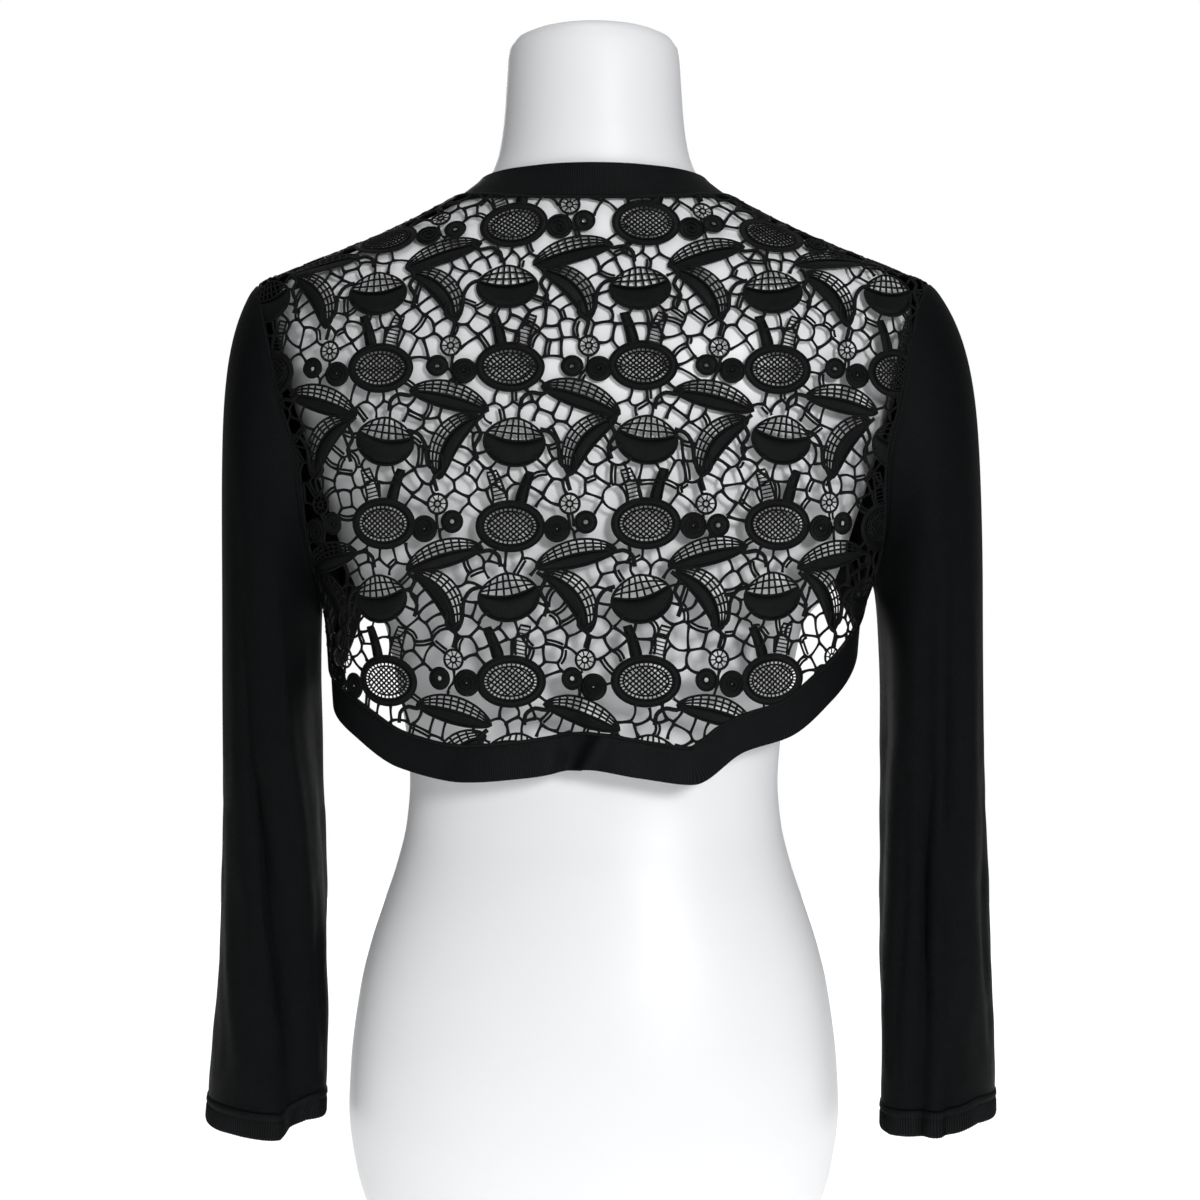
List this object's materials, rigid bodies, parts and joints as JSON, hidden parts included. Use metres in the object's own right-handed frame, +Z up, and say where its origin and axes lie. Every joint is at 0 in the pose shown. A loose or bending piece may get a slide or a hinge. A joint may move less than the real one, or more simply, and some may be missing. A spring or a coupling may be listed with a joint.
{
  "type": "knitted shrug on a dress form",
  "caption": "Open-fronted knitted shrug with a floral lace back and long empty sleeves, shown on a limbless dress form.",
  "frame": {"origin": "centre of the form's flat base, on the floor", "axes": "+Z up, the garment's front faces -Y, the wearer's left is +X"},
  "size_m": [0.5099, 0.2063, 0.8004],
  "materials": {
    "form": "smooth, softly glossy white",
    "lace": "black corded lace",
    "knit": "black fine knit",
    "rib": "black fine rib"
  },
  "bodies": {
    "root": {"dress_form": "form", "back_lace": "lace", "front_left": "knit", "front_right": "knit", "sleeve_left": "knit", "sleeve_right": "knit", "cuff_left": "rib", "cuff_right": "rib", "front_band": "rib", "hem_band": "rib"}
  },
  "joints": []
}
